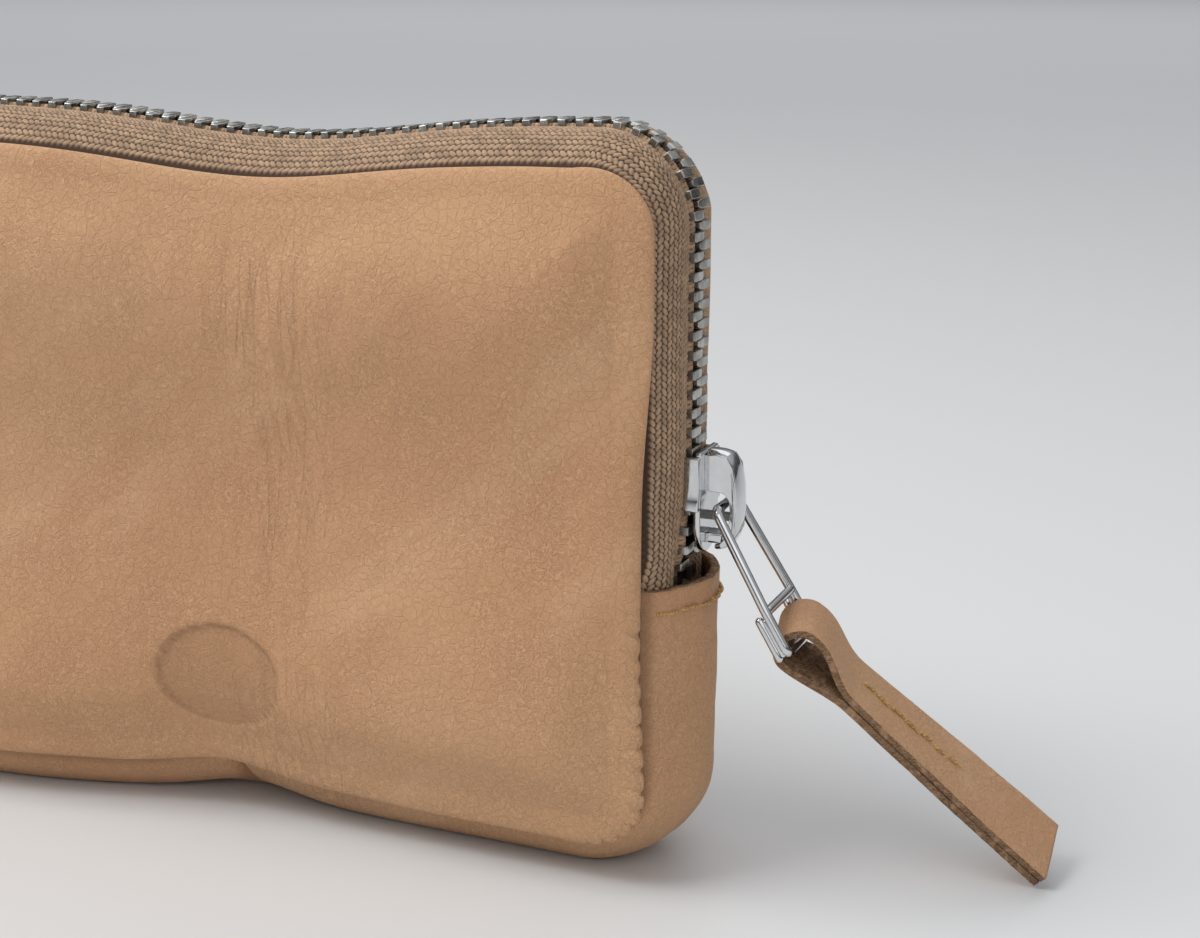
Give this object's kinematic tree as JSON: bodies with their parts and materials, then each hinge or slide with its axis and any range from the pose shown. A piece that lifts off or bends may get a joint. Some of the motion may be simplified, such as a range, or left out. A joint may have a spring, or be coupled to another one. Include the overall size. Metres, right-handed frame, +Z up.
{
  "type": "zippered leather pouch",
  "caption": "Small rectangular pouch of soft tan leather with a metal zip over its top and down both sides, a lock slider, a pull ring and a folded leather tab.",
  "frame": {"origin": "on the table, under the middle of the pouch's flat bottom, where the pouch's fold is", "axes": "+Z up, X along the width with the slider's side at +X, -Y towards the front panel"},
  "size_m": [0.1812, 0.0364, 0.0983],
  "materials": {
    "leather": "matte nubuck with fine pebbled grain, tan",
    "tape": "herringbone woven polyester tape, taupe brown",
    "thread": "twisted polyester thread, golden tan",
    "teeth_nickel": "antique nickel plated brass, worn bright on the faces",
    "slider_chrome": "polished nickel chrome plating on die-cast zinc",
    "spring_steel": "plain spring steel"
  },
  "bodies": {
    "pouch": {"front_panel": "leather", "back_panel": "leather", "gusset": "leather", "front_tape": "tape", "back_tape": "tape", "front_bead_cord": "tape", "back_bead_cord": "tape", "front_teeth": "teeth_nickel", "back_teeth": "teeth_nickel", "top_stops": "teeth_nickel", "bottom_stop": "teeth_nickel", "front_seam_stitch": "thread", "back_seam_stitch": "thread", "right_end_stitch": "thread", "left_end_stitch": "thread"},
    "slider": {"slider_body": "slider_chrome", "slider_cap": "slider_chrome", "lock_spring": "spring_steel"},
    "pawl": {"lock_pawl": "spring_steel"},
    "ring": {"pull_ring": "slider_chrome"},
    "tab": {"pull_tab": "leather", "pull_tab_stitch": "thread"}
  },
  "joints": [
    {"name": "slider_travel", "type": "slide", "parent": "pouch", "child": "slider", "axis": [0, 0, 1], "range_m": [0, 0.0255], "deforming": ["front_teeth", "back_teeth"]},
    {"name": "pull_swing", "type": "hinge", "parent": "slider", "child": "ring", "pos_m": [0.0699, -0.00181, 0.0497], "axis": [0, -1, 0], "range_deg": [-20, 120]},
    {"name": "tab_swing", "type": "hinge", "parent": "ring", "child": "tab", "pos_m": [0.0803, -0.00181, 0.03238], "axis": [0, -1, 0], "range_deg": [-18, 30]},
    {"name": "lock_lift", "type": "slide", "parent": "slider", "child": "pawl", "axis": [1, 0, 0], "range_m": [-0.00014, 0.0008], "deforming": ["lock_spring"]}
  ],
  "couplings": [
    {"joint": "lock_lift", "follows": "pull_swing", "m_per_rad": 0.00038}
  ]
}
